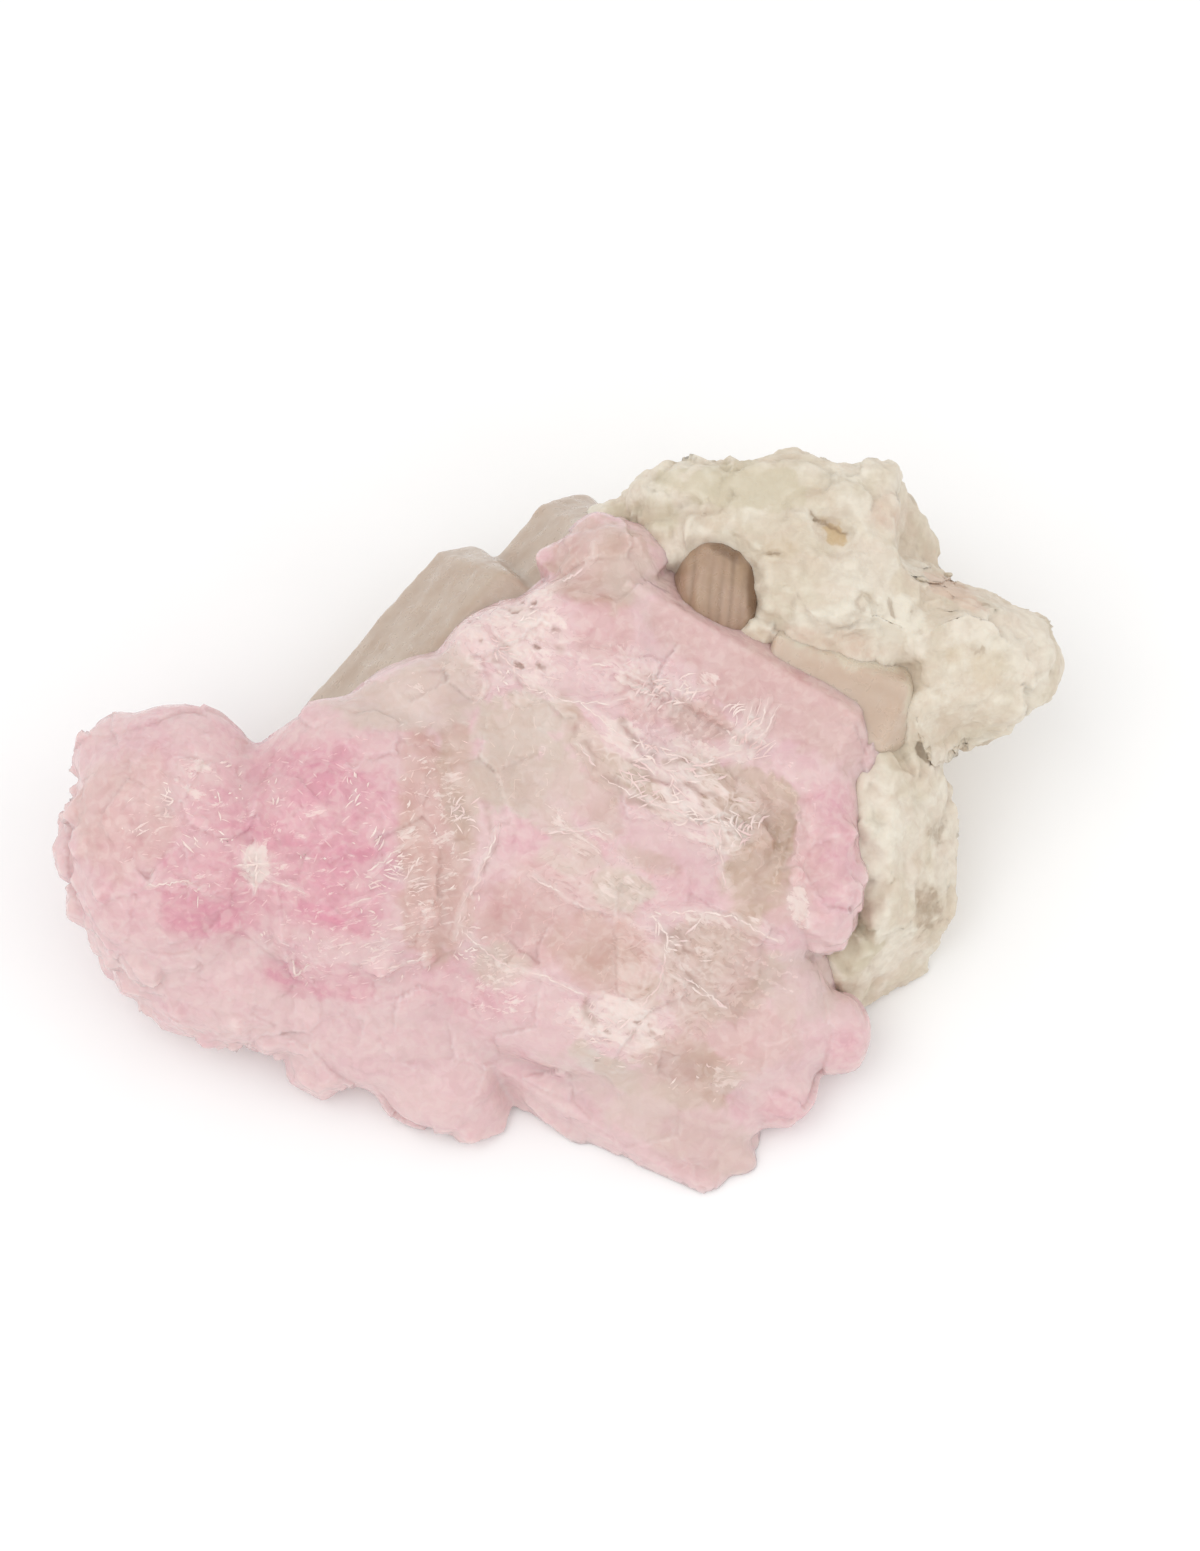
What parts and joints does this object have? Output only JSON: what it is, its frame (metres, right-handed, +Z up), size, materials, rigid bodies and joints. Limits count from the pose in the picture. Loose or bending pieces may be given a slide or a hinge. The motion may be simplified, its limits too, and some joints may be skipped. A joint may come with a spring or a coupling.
{
  "type": "rose quartz crystal specimen",
  "caption": "Loose mineral specimen: domes of packed pink quartz crystals grown on knobbly cream feldspar with smoky quartz, lying on a flat cut base.",
  "frame": {"origin": "on the flat base the specimen lies on, under the middle of its outline", "axes": "+X to the matrix's side along the longest extent, +Y to the back, +Z up; the display face looks up and to -Y, 65 degrees above the horizon"},
  "size_m": [0.0752, 0.0561, 0.0245],
  "materials": {
    "pink_quartz": "milky pink translucent quartz, glossy crystal faces",
    "cream_feldspar": "cream feldspar rock, knobbly and dull",
    "smoky_quartz": "beige to brown translucent quartz, smooth faces"
  },
  "bodies": {
    "root": {"rose_quartz": "pink_quartz", "matrix": "cream_feldspar", "smoky_quartz_left": "smoky_quartz", "smoky_quartz_top": "smoky_quartz", "smoky_quartz_right": "smoky_quartz"}
  },
  "joints": []
}
